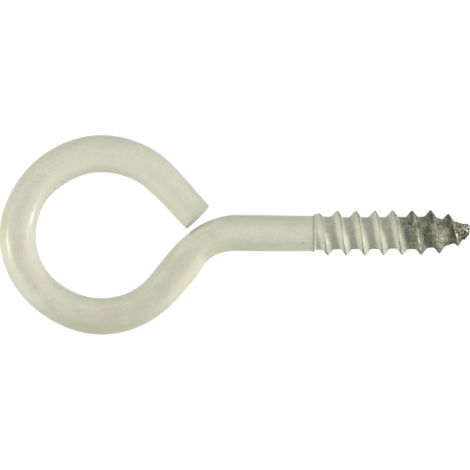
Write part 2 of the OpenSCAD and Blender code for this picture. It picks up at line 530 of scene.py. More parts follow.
def flank_slopes(turns, bared):
    """Slopes of the ridge's flanks, on the shank's side and on the point's."""
    sideways = np.cos(2 * math.pi * turns)
    front = np.sin(2 * math.pi * turns) > 0
    stepped = sum(extra * (np.round(turns) == ridge) for ridge, extra in STEPPED_FLANKS)
    stepped = stepped * smooth(sideways, *STEPPED_SIDES) * front
    low_side = smooth(-sideways, *LOW_SIDES)
    leant = LEANT_SLOPE * smooth(-sideways, *LEANT_SIDES) * (1 - bared) * (1 - LEANT_LOSS_LOW * low_side)
    shank_slope = SHANK_SLOPE + SHANK_SLOPE_BARED * bared + SHANK_SLOPE_LOW * low_side * (1 - bared)
    point_slope = POINT_SLOPE + POINT_SLOPE_BARED * bared + stepped - leant
    return shank_slope, point_slope


def ridge_height(x, crest_x, turns, half_pitch):
    """Height of the ridge above the core: steep flanks, a rounded crest and a hollow at each foot."""
    begin, end = BARED_PAST_DIP
    bared = smooth(x, DIP_X + begin, DIP_X + end)
    shank_slope, point_slope = flank_slopes(turns, bared)
    off_crest = x - crest_x
    slope = np.where(off_crest < 0, shank_slope, point_slope)
    crest = CREST_ROUND + CREST_ROUND_BARED * bared
    lowered = LOW_RIDGE * between(turns, *LOW_RIDGE_TURNS)
    peaked = RIDGE_H - lowered - slope * (np.sqrt(off_crest**2 + crest**2) - crest)
    hollow = np.where(off_crest < 0, FOOT_HOLLOW, FOOT_HOLLOW - FOOT_FILL * (1 - bared))
    height = 0.5 * (peaked + np.sqrt(peaked**2 + hollow**2)) - FOOT_SETTLE * hollow**2
    rise = np.sqrt(np.clip((crest_x - SHOULDER_X) / RUN_IN_L, 0, 1))
    fall = np.clip((NIB_X - x) / RUN_OUT_L, 0, 1)
    to_root = smooth(half_pitch - np.abs(off_crest), 0.0, ROOT_MARGIN)
    return np.maximum(height, 0) * np.minimum(rise, fall) * to_root


def axis_bow(x):
    """How far the forged point wanders off the screw's axis, towards the free end's side."""
    before = LEAN_BEFORE_NIB * smooth(x, NIB_X - LEAN_BEFORE_L, NIB_X)
    in_nib = LEAN_IN_NIB * smooth(x, NIB_X, TIP_X + LEAN_PAST_TIP)
    return through(POINT_WANDER, x) + before + in_nib


def on_screw(x, radius, turn):
    """Points about the screw's axis, and their unrolled places."""
    side = radius * np.cos(turn)
    up = radius * np.sin(turn)
    points = np.stack([x, AXIS_Y + axis_bow(x) + side, up], -1).reshape(-1, 3)
    unrolled = np.stack([SHOULDER_X - x, side, up], -1).reshape(-1, 3)
    return points, unrolled


def screw_ring(x, radius):
    """A ring of points about the screw's axis."""
    return on_screw(np.full(RING_POINTS, float(x)), np.broadcast_to(radius, RING_POINTS), TURN)


# Bands of the ridge by its height above the core, and the ridges that stand out by their place
OFF_ROOT = (0.02, 0.12)
LOW_FLANK = (0.05, 0.2)
HIGH_FLANK = (0.2, 0.5)
BELOW_CREST = (0.5, 0.3)
PAST_CREST = (0.06, 0.2)
FIRST_RIDGE_FALL = (0.5, 0.3)
SEVENTH_CREST_X = (34.9, 35.2, 36.3, 36.6)
LAST_TURN_FROM = 1.6
LAST_TURN_FULL = 1.2

# Wear of the coat on the crests: a line along each and one bare spot, with painted shade that broadens and
# darkens the line at the rims and the sides
CREST_LINE_W = 0.07
RIM_LINE_W = 0.15
RIM_SIDES = (0.65, 0.95)
RIM_SHADE_CURVE = 0.4
CREST_WEAR = 0.75
CREST_SIDE_SHADE = 0.5
CREST_SHADE_SIDES = (0.15, 0.6)
BARE_SPOT_ACROSS = (0.08, 0.15)
BARE_SPOT_TURN = (4.365, 0.035)
BARE_SPOT_WEAR = 0.65

# Grey roots, partly a thin coat and partly painted shade: where past the shoulder they start and are full,
# sooner on the lower side, and paler on the upper side, where the painted shade is lighter
ROOT_H = (0.0, 0.2)
ROOT_LOWER_SIDE = (0.0, 0.3)
ROOT_START = 0.5
ROOT_START_LOWER = 0.2
ROOT_FULL = 1.6
ROOT_FULL_LOWER = 0.8
ROOT_PALE = 0.3
ROOT_PALE_SIDES = (0.1, 0.6)
ROOT_PALE_FALL = (29.5, 25.5)

# Painted light on the fillets at the feet of the ridges, and a painted highlight on the bead of coat past the
# shoulder, stronger on its lower side
FOOT_LINE = (0.2, 0.1)
BEAD_H = 0.1
BEAD_PAST_SHOULDER = (0.0, 0.08, 0.17, 0.32)
BEAD_LIGHT = 1.2
BEAD_LIGHT_LOWER = 1.5
BEAD_LOWER_SIDES = (0.1, 0.5)

# Tone of the ridges: streaks along the helix (width in millimetres, draw to the turn), and duller flanks
STREAK_W = 0.13
STREAK_DRAW = 0.6
STREAK_SEED = 11
STREAK_OCTAVES = 2
STREAK_TONE = 0.3
POINT_FLANK = (0.06, 0.16)
POINT_FLANK_TONE = -0.35
DULLED_RIDGES = (0, 2, 3, 4)
DULLED_SIDES = (-0.15, 0.1)
DULLED_TONE = -0.6
GREYED_RIDGES = (0, 3)
GREYED = 0.4
FIRST_FLANK_TONE = -0.35

# Painted shade on the last turn, on the tips and on the seventh ridge, and dirt with painted shade in the
# roots, deepest on the lower side
BEHIND_LAST_SHADE = 0.38
UNDER_LAST_SHADE = 0.6
UNDER_LAST_LINE = (-0.06, 0.1)
UNDER_LAST_SIDES = (0.6, 0.3)
PAST_LAST_SHADE = 0.38
PAST_LAST_SHADE_LOWER = 0.32
PAST_LAST_SIDES = (-0.1, 0.3)
ROOT_DIRT = 0.3
ROOT_SHADE_UPPER = -0.2
ROOT_SHADE_SIDES = (0.0, 0.5)
ROOT_CLEANER = 0.8
ROOT_CLEANER_FALL = (34.4, 33.8)
LAST_ROOT_CLEANER = 0.6
LAST_ROOT_RISE = (36.2, 36.8)
LOW_SHADE_COATED = 0.5
LOW_SHADE = 0.1
LOW_SHADE_SIDES = (0.8, 0.98)
LOW_SHADE_LAST = 0.6
LOW_SHADE_LAST_RISE = (36.9, 37.5)
LOW_SHADE_LAST_SIDES = (0.5, 0.9)
COAT_PAST_DIP = 0.6
TIP_SHADE = 0.5
TIP_SIDES = (0.75, 0.95)
TIP_SIDES_SEVENTH = (-0.3, -0.2)
TIP_H = (0.2, 0.45)
TIP_LIGHTER_SEVENTH = 0.3
TIP_LIGHTER_POINT_SIDE = 0.75
LOW_TIP = 0.8
LOW_TIP_SIDES = (0.55, 0.9)
LOW_TIP_H = (0.25, 0.45)
SEVENTH_SHADE = 0.35
SEVENTH_SIDES = (0.4, 0.65)
SEVENTH_OFF_CREST = (-0.9, -0.65)

# A burr along the seventh ridge: a painted highlight along it with a line of painted shade beside it, and a
# darker flank past it
BURR_X = 36.49
BURR_W = 0.06
BURR_SIDES = (0.12, 0.25, 0.7, 0.85)
BURR_DARK_SET = 0.12
BURR_DARK_SHADE = 0.6
BURR_FLANK = (0.05, 0.15)
BURR_FLANK_DARK = 0.3
BURR_HIGHLIGHT = 1.6
BURR_DULLS = 0.8

# Bright steel: rubbed crests, painted light on the lower halves of the ridges, a painted highlight along the
# last crest, and the tear past it
POLISH_SIDES = (0.7, 0.95)
LOWER_LIGHT = 0.4
LOWER_LIGHT_H = (0.25, 0.5)
LOWER_LIGHT_SIDES = (-0.1, 0.4)
LAST_LINE = (0.165, 0.09)
LAST_LINE_SIDES = (-0.02, 0.25)
LAST_LINE_FROM = 1.0
LAST_LINE_FULL = 0.8
LAST_LINE_HIGHLIGHT = 5.0
PAST_LAST_TORN = 0.85

# The nib: painted shade on its lower side, and how bright it is rubbed
NIB_SHADE = 0.85
NIB_SHADE_SIDES = (0.0, 0.5)
NIB_POLISH = 0.45

# Rubbed patches on the steel: (place on the upper side), (half sizes), amount
RUBBED = (
    ((37.12, -0.05), (0.37, 0.7), 0.8),
    ((36.9, 0.2), (0.09, 0.6), 0.55),
    ((34.45, -0.5), (0.22, 0.75), 0.45),
    ((39.1, 0.6), (0.2, 0.22), 0.8),
    ((36.8, 0.95), (0.15, 0.4), 0.35),
    ((33.65, -1.35), (0.3, 0.2), 0.4),
)


class Thread:
    """The grid of the rolled thread: stations round the helix, each with the profile of one turn."""

    def __init__(self):
        self.stations = math.ceil(RING_POINTS * ((NIB_X - crest_place(-1)) / PITCH + SPARE_TURNS))
        around = np.arange(self.stations + 1)[:, None] / RING_POINTS
        reach = np.linspace(-1, 1, PROFILE_POINTS + 1)[None, :]
        self.turns = around - 1
        self.crest_x = crest_place(self.turns)
        to_last = self.crest_x - crest_place(self.turns - 1)
        to_next = crest_place(self.turns + 1) - self.crest_x
        half_pitch = np.where(reach < 0, to_last, to_next) / 2
        across = half_pitch * np.sign(reach) * np.abs(reach) ** PROFILE_CROWDING
        self.x = np.clip(self.crest_x + across, SHOULDER_X, NIB_X)
        self.off_crest = self.x - self.crest_x
        self.height = ridge_height(self.x, self.crest_x, self.turns, half_pitch)
        self.angle = 2 * math.pi * np.broadcast_to(around, self.x.shape)
        self.sideways = np.cos(2 * math.pi * around)
        self.front = np.sin(2 * math.pi * around) > 0
        self.shank_side = self.off_crest < 0
        self.point_side = self.off_crest > 0
        self.first_ridge = smooth(self.turns, *FIRST_RIDGE_FALL)
        self.on_seventh = between(self.crest_x, *SEVENTH_CREST_X)
        self.last_turn = smooth(self.crest_x, NIB_X - LAST_TURN_FROM, NIB_X - LAST_TURN_FULL)
        self.past_last = smooth(self.off_crest, *PAST_CREST) * self.last_turn


def on_ridges(thread, ridges):
    """One on the given ridges, counted from the shoulder."""
    return sum(np.round(thread.turns) == ridge for ridge in ridges)


def on_point_flank(thread):
    """One on the flanks that face the point."""
    return smooth(thread.off_crest, *POINT_FLANK) * smooth(thread.height, *LOW_FLANK)


def crest_wear_and_shade(thread):
    """How far the coat is worn off the crests, with painted shade where they turn away at the rims and sides.
    """
    at_rim = smooth(thread.sideways * np.sign(thread.off_crest), *RIM_SIDES)
    width = CREST_LINE_W + RIM_LINE_W * at_rim
    wear = soft_line(thread.off_crest, 0.0, width) * smooth(thread.height, *HIGH_FLANK)
    # Painted shade broadens and darkens the worn line towards the rims and sides
    wear = wear * (width / CREST_LINE_W) ** RIM_SHADE_CURVE
    wear = wear * (CREST_WEAR + CREST_SIDE_SHADE * smooth(np.abs(thread.sideways), *CREST_SHADE_SIDES))
    bare_spot = soft_line(thread.off_crest, *BARE_SPOT_ACROSS) * soft_line(thread.turns, *BARE_SPOT_TURN)
    return wear + BARE_SPOT_WEAR * bare_spot


def root_share(thread):
    """How far a point lies in a root, from the first full one on."""
    lower = smooth(-thread.sideways, *ROOT_LOWER_SIDE)
    start = SHOULDER_X + ROOT_START - ROOT_START_LOWER * lower
    full = SHOULDER_X + ROOT_FULL - ROOT_FULL_LOWER * lower
    share = (1 - smooth(thread.height, *ROOT_H)) * smooth(thread.x, start, full)
    # Paler on the upper side, where the painted shade is lighter
    pale = smooth(thread.sideways, *ROOT_PALE_SIDES) * smooth(thread.x, *ROOT_PALE_FALL)
    return share * (1 - ROOT_PALE * pale)


def foot_light(thread):
    """Painted light at the feet of the ridges, and a painted highlight on the bead past the shoulder."""
    foot = soft_line(thread.height, *FOOT_LINE) * thread.shank_side * (1 - thread.first_ridge)
    bead = between(thread.x - SHOULDER_X, *BEAD_PAST_SHOULDER) * (thread.height < BEAD_H)
    bead = bead * (1 + BEAD_LIGHT_LOWER * smooth(-thread.sideways, *BEAD_LOWER_SIDES))
    return np.maximum(foot, BEAD_LIGHT * bead)


def ridge_tone(thread, dulled):
    """How much cleaner or duller the coat is on the ridges."""
    around = np.broadcast_to(thread.turns + 1, thread.x.shape)
    along_ridge = np.stack([thread.off_crest, STREAK_DRAW * around, 0 * thread.x], -1).reshape(-1, 3)
    streaks = grain(along_ridge, STREAK_W, STREAK_SEED, STREAK_OCTAVES).reshape(thread.x.shape)
    tone = STREAK_TONE * streaks * smooth(thread.height, *LOW_FLANK)
    tone = tone + POINT_FLANK_TONE * on_point_flank(thread) + DULLED_TONE * dulled
    first_flank = smooth(thread.height, *OFF_ROOT) * smooth(thread.height, *BELOW_CREST)
    return tone + FIRST_FLANK_TONE * first_flank * thread.shank_side * thread.first_ridge


def last_turn_shade(thread):
    """Painted shade on both sides of the last crest, with a dark line of painted shade under it."""
    off_root = smooth(thread.height, *OFF_ROOT) * thread.last_turn
    under = soft_line(thread.off_crest, *UNDER_LAST_LINE) * off_root
    under = under * smooth(np.abs(thread.sideways), *UNDER_LAST_SIDES)
    past = PAST_LAST_SHADE + PAST_LAST_SHADE_LOWER * smooth(-thread.sideways, *PAST_LAST_SIDES)
    return BEHIND_LAST_SHADE * thread.shank_side * off_root + UNDER_LAST_SHADE * under + past * thread.past_last


def root_dirt_and_shade(thread):
    """Dirt in the roots, with painted shade that gathers towards the lower side and along the lower rim."""
    shade_and_dirt = ROOT_DIRT + ROOT_SHADE_UPPER * smooth(thread.sideways, *ROOT_SHADE_SIDES)
    shade_and_dirt = shade_and_dirt * (1 - ROOT_CLEANER * smooth(thread.x, *ROOT_CLEANER_FALL))
    shade_and_dirt = shade_and_dirt * (1 - LAST_ROOT_CLEANER * smooth(thread.x, *LAST_ROOT_RISE))
    coated = smooth(thread.x, DIP_X + COAT_PAST_DIP, DIP_X)
    low = (LOW_SHADE_COATED * coated + LOW_SHADE) * smooth(-thread.sideways, *LOW_SHADE_SIDES)
    last = smooth(thread.x, *LOW_SHADE_LAST_RISE) * smooth(-thread.sideways, *LOW_SHADE_LAST_SIDES)
    return shade_and_dirt + low + LOW_SHADE_LAST * last


def tip_shade(thread):
    """Painted shade on the tips of the ridges at both sides of the screw, and on the lower side."""
    seventh = thread.on_seventh
    side = np.where(thread.shank_side, np.abs(thread.sideways), thread.sideways)
    begin, full = (at + shift * seventh for at, shift in zip(TIP_SIDES, TIP_SIDES_SEVENTH))
    dark = smooth(side, begin, full) * smooth(thread.height, *TIP_H)
    lighter = TIP_LIGHTER_SEVENTH * seventh + TIP_LIGHTER_POINT_SIDE * thread.point_side * (1 - seventh)
    low = LOW_TIP * smooth(-thread.sideways, *LOW_TIP_SIDES) * smooth(thread.height, *LOW_TIP_H)
    return TIP_SHADE * np.maximum(dark * (1 - lighter), low)


def on_burr(thread):
    """One on the part of the seventh ridge that has the burr."""
    return between(-thread.sideways, *BURR_SIDES) * thread.front * thread.on_seventh


def seventh_shade(thread):
    """Painted shade behind the seventh ridge and beside its burr, and a darker flank past the burr."""
    behind = smooth(thread.sideways, *SEVENTH_SIDES) * smooth(thread.off_crest, *SEVENTH_OFF_CREST)
    dark_line = soft_line(thread.x, BURR_X - BURR_DARK_SET, BURR_W)
    flank = smooth(thread.x - BURR_X, *BURR_FLANK) * thread.point_side
    beside_burr = (BURR_DARK_SHADE * dark_line + BURR_FLANK_DARK * flank) * on_burr(thread)
    return SEVENTH_SHADE * behind * thread.shank_side * thread.on_seventh + beside_burr


def crest_polish_and_highlight(thread):
    """How bright the steel is rubbed along the crests, with painted highlights on the burr and along the last
    crest, and painted light on the lower halves of the ridges.
    """
    burred = on_burr(thread)
    at_front = 1 - smooth(np.abs(thread.sideways), *POLISH_SIDES)
    crest = soft_line(thread.off_crest, 0.0, CREST_LINE_W) * smooth(thread.height, *HIGH_FLANK)
    # Painted light on the lower halves of the ridges
    lower = smooth(thread.height, *LOWER_LIGHT_H) * smooth(-thread.sideways, *LOWER_LIGHT_SIDES)
    rubbed = crest + LOWER_LIGHT * lower * (1 - thread.last_turn)
    polish = rubbed * at_front * (1 - BURR_DULLS * burred)
    # Painted highlight along the burr
    polish = polish + BURR_HIGHLIGHT * soft_line(thread.x, BURR_X, BURR_W) * burred
    # Painted highlight along the last crest
    last_line = soft_line(thread.off_crest, *LAST_LINE) * soft_line(thread.sideways, *LAST_LINE_SIDES)
    on_last = smooth(thread.crest_x, NIB_X - LAST_LINE_FROM, NIB_X - LAST_LINE_FULL)
    return polish + LAST_LINE_HIGHLIGHT * last_line * on_last


def roll_thread(skin, shoulder_ring):
    """The rolled thread, held between the shoulder and the nib, with its finish."""
    thread = Thread()
    in_root = root_share(thread)
    dulled = on_ridges(thread, DULLED_RIDGES) * thread.front * on_point_flank(thread)
    dulled = dulled * smooth(-thread.sideways, *DULLED_SIDES)
    # Painted shade on the last turn, the tips and the seventh ridge, and dirt with painted shade in the roots
    shade_and_dirt = last_turn_shade(thread) + in_root * root_dirt_and_shade(thread) + tip_shade(thread) + seventh_shade(thread)
    finish = {
        "thin_coat": crest_wear_and_shade(thread),
        "root": in_root + GREYED * dulled * on_ridges(thread, GREYED_RIDGES),
        "foot": foot_light(thread),
        "tone": ridge_tone(thread, dulled),
        "grime": shade_and_dirt,
        "polish": crest_polish_and_highlight(thread),
        "torn": PAST_LAST_TORN * thread.past_last,
    }
    points, unrolled = on_screw(thread.x, core_radius(thread.x) + thread.height, thread.angle)
    start = skin.add(points, unrolled, **{name: amount.ravel() for name, amount in finish.items()})
    row = PROFILE_POINTS + 1
    for i in range(thread.stations):
        for j in range(PROFILE_POINTS):
            a = start + i * row + j
            skin.faces.append((a, a + row, a + row + 1, a + 1))
    join_shoulder(skin, shoulder_ring)


def join_shoulder(skin, shoulder_ring):
    """The step from the lip at the shoulder down to the core and the start of the first ridge."""
    crest_x = crest_place(TURN / (2 * math.pi) - 1)
    crest_x = crest_x + PITCH * np.round((SHOULDER_X - crest_x) / PITCH)
    turns = (crest_x - SHOULDER_X) / PITCH + START_ANGLE / 360
    height = ridge_height(np.full(RING_POINTS, SHOULDER_X), crest_x, turns, PITCH / 2)
    # Painted light on the step down at the shoulder
    foot = skin.add(*screw_ring(SHOULDER_X, core_radius(SHOULDER_X) + height), foot=SHOULDER_FOOT)
    skin.join_rings(shoulder_ring, foot)


def break_nib(skin):
    """The stub left where the point broke off, rounded over and a little to one side."""
    # Painted shade on the nib's lower side
    shade_and_dirt = NIB_SHADE * smooth(-np.cos(TURN), *NIB_SHADE_SIDES)
    previous = skin.add(*screw_ring(NIB_X, core_radius(NIB_X)))
    for i in range(1, NIB_RINGS):
        share = math.pi / 2 * i / NIB_RINGS
        ring = screw_ring(NIB_X + NIB_L * math.sin(share), NIB_R * math.cos(share) ** NIB_ROUNDING)
        new = skin.add(*ring, grime=shade_and_dirt, polish=NIB_POLISH)
        skin.join_rings(previous, new)
        previous = new
    tip = np.array([[TIP_X, AXIS_Y + axis_bow(TIP_X), 0.0]])
    skin.close(previous, skin.add(tip, np.array([[SHOULDER_X - TIP_X, 0, 0]])))


def roughen(points, past_dip):
    """Rough forged skin on the bare thread, and a torn nib."""
    bare = np.flatnonzero(past_dip > FORGED_PAST_DIP[0])
    spots = points[bare]
    x = spots[:, 0]
    middle = np.stack([x, AXIS_Y + axis_bow(x), 0 * x], 1)
    out = spots - middle
    out /= np.maximum(np.linalg.norm(out, axis=1, keepdims=True), NEAR_AXIS)
    forged = FORGED_H * smooth(past_dip[bare], *FORGED_PAST_DIP) * grain(spots, FORGED_SIZE, FORGED_SEED)
    torn = TORN_H * smooth(x - NIB_X, *TORN_LUMPS) * grain(spots, TORN_SIZE, TORN_SEED)
    moved = points.copy()
    moved[bare] += out * (forged + torn)[:, None]
    moved[:, 0] = np.minimum(moved[:, 0], TIP_X)
    return moved


def rubbed_steel(points):
    """How far the steel is rubbed, in patches on the upper side."""
    amount = 0.0
    for place, size, strength in RUBBED:
        amount = amount + strength * np.exp(-(((points[:, :2] - place) / size) ** 2).sum(1))
    return amount * (points[:, 2] > 0)


def weld(mesh):
    """Joins the seams of the skin, takes out flat faces and turns all faces outwards."""
    shape = bmesh.new()
    shape.from_mesh(mesh)
    bmesh.ops.remove_doubles(shape, verts=shape.verts, dist=WELD)
    bmesh.ops.dissolve_degenerate(shape, edges=shape.edges, dist=FLAT)
    bmesh.ops.recalc_face_normals(shape, faces=shape.faces)
    shape.to_mesh(mesh)
    shape.free()
    mesh.polygons.foreach_set("use_smooth", np.ones(len(mesh.polygons), bool))


def make_skin():
    """The whole screw eye as one closed mesh, with its finish values as attributes."""
    skin = Skin()
    shoulder_ring = lay_wire(skin)
    roll_thread(skin, shoulder_ring)
    break_nib(skin)
    points = np.concatenate(skin.points)
    past_dip = points[:, 0] - DIP_X + DIP_SLANT * (points[:, 1] - AXIS_Y)
    points = roughen(points, past_dip)
    mesh = bpy.data.meshes.new("screw_eye_skin")
    mesh.from_pydata((points * MM).tolist(), [], skin.faces)
    values = {name: np.concatenate(parts) for name, parts in skin.finish.items()}
    values["past_dip"] = past_dip
    values["torn"] = np.maximum(values["torn"], smooth(points[:, 0] - NIB_X, *TORN_RISE))
    values["rubbed"] = rubbed_steel(points)
    for name, amount in values.items():
        layer = mesh.attributes.new(name, "FLOAT", "POINT")
        layer.data.foreach_set("value", amount.astype(np.float32))
    layer = mesh.attributes.new("unrolled", "FLOAT_VECTOR", "POINT")
    layer.data.foreach_set("vector", np.concatenate(skin.unrolled).astype(np.float32).ravel())
    weld(mesh)
    piece = bpy.data.objects.new("screw_eye_wire", mesh)
    bpy.context.scene.collection.objects.link(piece)
    return piece


def add_node(tree, kind, inputs=None, **settings):
    """A shader node with its settings, and its sockets set to a value or joined to another node's output."""
    made = tree.nodes.new(kind)
    for name, value in settings.items():
        setattr(made, name, value)
    for name, value in (inputs or {}).items():
        if isinstance(value, bpy.types.NodeSocket):
            tree.links.new(value, made.inputs[name])
        else:
            made.inputs[name].default_value = value
    return made


# Noise nodes: levels of detail, from plain to fine, and the usual roughness
PLAIN_DETAIL = 2
USUAL_DETAIL = 3
FINE_DETAIL = 4
USUAL_ROUGH = 0.55


def noise_of(tree, where, scale, detail=USUAL_DETAIL, rough=USUAL_ROUGH):
    return add_node(tree, "ShaderNodeTexNoise", {
        "Vector": where, "Scale": scale, "Detail": detail, "Roughness": rough,
    }).outputs["Fac"]


def ramp_of(tree, value, span, to=(0.0, 1.0), kind="SMOOTHSTEP"):
    return add_node(tree, "ShaderNodeMapRange", {
        "Value": value, "From Min": span[0], "From Max": span[1], "To Min": to[0], "To Max": to[1],
    }, interpolation_type=kind).outputs["Result"]


def sum_of(tree, a, b):
    return add_node(tree, "ShaderNodeMath", {0: a, 1: b}, operation="ADD").outputs[0]


def difference_of(tree, a, b):
    return add_node(tree, "ShaderNodeMath", {0: a, 1: b}, operation="SUBTRACT").outputs[0]


def product_of(tree, a, b):
    return add_node(tree, "ShaderNodeMath", {0: a, 1: b}, operation="MULTIPLY").outputs[0]


def greater_of(tree, a, b):
    return add_node(tree, "ShaderNodeMath", {0: a, 1: b}, operation="MAXIMUM").outputs[0]


def mix_of(tree, share, a, b):
    return add_node(tree, "ShaderNodeMix", {0: share, 6: a, 7: b}, data_type="RGBA").outputs[2]


def blend_of(tree, share, a, b):
    return add_node(tree, "ShaderNodeMix", {0: share, 2: a, 3: b}, data_type="FLOAT").outputs[0]


def attribute_of(tree, name, kind="Fac"):
    return add_node(tree, "ShaderNodeAttribute", attribute_name=name).outputs[kind]


# Colours of the coat, from its yellowed dirt to a bead with a painted highlight, with a thin colour that also
# takes painted shade, and of the steel, from painted shade and pits to bright metal
COAT_DULL_WARM = (0.56, 0.54, 0.43, 1)
COAT_DULL_GREEN = (0.54, 0.555, 0.417, 1)
COAT_DULL_YELLOW = (0.555, 0.552, 0.39, 1)
COAT_CLEAN = (0.695, 0.687, 0.55, 1)
COAT_YELLOWED = (0.692, 0.688, 0.505, 1)
COAT_BEAD_HIGHLIGHT = (0.88, 0.875, 0.72, 1)
COAT_THIN_AND_SHADE = (0.247, 0.25, 0.188, 1)
COAT_ROOT = (0.417, 0.428, 0.351, 1)
COAT_FADED = (0.44, 0.45, 0.36, 1)
SHEEN_TINT = (1.0, 1.0, 0.86, 1)
SPECK = (0.16, 0.15, 0.11, 1)
STEEL = (0.36, 0.375, 0.282, 1)
STEEL_DARK = (0.117, 0.122, 0.084, 1)
STEEL_SHADE_AND_PIT = (0.03, 0.03, 0.018, 1)
STEEL_RUBBED = (0.57, 0.55, 0.41, 1)
STEEL_FLECK = (0.68, 0.68, 0.52, 1)
STEEL_BRIGHT = (0.82, 0.82, 0.66, 1)

# Noises of the finish, in features to the millimetre, and the range that most of a noise lies in
CLOUD_SCALE = 0.5
RUB_SCALE = 1.8
RUB_DRAW = (0.22, 1.0, 1.0)
MOTTLE_SCALE = 2.4
SPECK_SCALE = 8.0
HUE_SCALE = 0.28
FORGED_SCALE = 1.7
FORGED_ROUGH = 0.62
FLECK_SCALE = 4.6
NOISE_RANGE = (0.3, 0.7)
SPECK_RANGE = (0.25, 0.75)

# Coat: what each noise adds to its tone, and the ramps of its finish (range of a value, what it gives there)
CLOUD_TONES = (0.3, 0.56)
RUB_TONES = (-0.08, 0.12)
MOTTLE_TONES = (-0.06, 0.06)
SPECK_TONES = (-0.2, 0.2)
EYE_SPOTS = ((-21.0, -17.0), (1.35, 1.0))
# FOOT_TONE and BEAD_RANGE carry the painted light at the feet and the bead's painted highlight
FOOT_TONE = 0.35
THREAD_HUE = ((-11.0, -8.6), (0.0, 0.25))
WARM_HUE = 0.2
HUE_RANGE = (0.35, 0.65)
BEAD_RANGE = (1.8, 2.8)
ROOT_MOTTLE = ((0.35, 0.65), (0.55, 1.0))
# Painted shade darkens the coat towards its thin colour
COAT_SHADE = ((0.4, 0.9), (0.0, 0.6))
FADED = ((-1.0, -0.2), (0.0, 0.85))
FADED_MOTTLE = ((0.3, 0.5), (0.3, 1.0))
# The mottle breaks up the thin coat together with its painted shade
WORN_MOTTLE = ((0.35, 0.6), (0.5, 1.0))
DARK_SPECKS = ((0.73, 0.78), (0.0, 0.6))

# A chip in the coat by the shoulder: its unrolled place, from its rim to its middle, and its share
CHIP_PLACE = (1.19, -1.05, 1.6)
CHIP = ((0.16, 0.064), (0.0, 0.45))

# Steel: patches of forged skin, rubs, pits and flecks of the torn nib, fewer flecks in painted shade, and
# sparkles along the crests, raised by the painted highlights
FORGED_RANGE = (0.32, 0.66)
RUBBED_GRIT = ((0.36, 0.62), (0.25, 1.0))
PITS = ((0.51, 0.42), (0.0, 0.95))
FLECKS = ((0.56, 0.65), (0.0, 0.95))
FLECKS_IN_SHADE = ((0.0, 1.0), (1.0, 0.4))
POLISH_GAIN = 0.14
SPARKLE_RANGE = (0.67, 0.79)

# Surface: ragged end of the coat, height of the bump, roughness, metal and lacquer
EDGE_RAGGED = (-0.28, 0.28)
EDGE_SOFT = (-0.06, 0.06)
PEEL = ((0.2, 0.8), (0.45, 0.55))
BUMP_DEPTH = 0.00006
COAT_ROUGH = (0.33, 0.38)
THREAD_PAST_DIP = (-9.6, -8.6)
THREAD_ROUGHER = (0.0, 0.12)
STEEL_ROUGH = ((0.45, 0.78), (0.62, 0.36))
STEEL_METAL = ((0.0, 1.0), (0.38, 0.85))
LACQUER = (0.5, 0.15)
LACQUER_WORN = ((0.0, 0.8), (1.0, 0.0))
LACQUER_ROUGH = 0.2
SHEEN_LEVEL = 0.2
COAT_LEFT = (1.0, 0.0)


class Finish:
    """The values of the skin and the noises that the coat and the steel share, as sockets of one material."""

    def __init__(self, tree):
        self.tree = tree
        self.unrolled = attribute_of(tree, "unrolled", "Vector")
        self.values = {name: attribute_of(tree, name) for name in Skin.FINISH}
        self.rubbed = attribute_of(tree, "rubbed")
        self.dip = attribute_of(tree, "past_dip")
        drawn = add_node(tree, "ShaderNodeVectorMath", {0: self.unrolled, 1: RUB_DRAW}, operation="MULTIPLY")
        self.rubs = noise_of(tree, drawn.outputs["Vector"], RUB_SCALE)
        self.mottle = noise_of(tree, self.unrolled, MOTTLE_SCALE, FINE_DETAIL)
        self.specks = noise_of(tree, self.unrolled, SPECK_SCALE, PLAIN_DETAIL)
        forged = noise_of(tree, self.unrolled, FORGED_SCALE, FINE_DETAIL, FORGED_ROUGH)
        self.gritty = sum_of(tree, forged, ramp_of(tree, self.specks, SPECK_RANGE, SPECK_TONES))
        # Rubbed crests and painted highlights raise the sparkle
        polish = product_of(tree, self.values["polish"], POLISH_GAIN)
        self.polish = sum_of(tree, self.specks, polish)
        self.sparkle = ramp_of(tree, self.polish, SPARKLE_RANGE)
        self.matt_rub = product_of(tree, self.rubbed, ramp_of(tree, self.gritty, *RUBBED_GRIT))
        thin_and_shaded = ramp_of(tree, self.mottle, *WORN_MOTTLE)
        self.thin_and_shaded = product_of(tree, self.values["thin_coat"], thin_and_shaded)


def coat_lightness(finish):
    """The coat's tone: clouds, lengthwise rub marks, spots and painted light at the feet, on the skin's own
    tone, which carries painted light and shade along the wire.
    """
    tree = finish.tree
    clouds = noise_of(tree, finish.unrolled, CLOUD_SCALE)
    spots = ramp_of(tree, finish.mottle, NOISE_RANGE, MOTTLE_TONES)
    spots = sum_of(tree, spots, ramp_of(tree, finish.specks, SPECK_RANGE, SPECK_TONES))
    spots = product_of(tree, spots, ramp_of(tree, finish.dip, *EYE_SPOTS))
    tone = sum_of(tree, finish.values["tone"], ramp_of(tree, clouds, NOISE_RANGE, CLOUD_TONES))
    tone = sum_of(tree, tone, ramp_of(tree, finish.rubs, NOISE_RANGE, RUB_TONES))
    tone = sum_of(tree, tone, spots)
    return sum_of(tree, tone, product_of(tree, finish.values["foot"], FOOT_TONE))


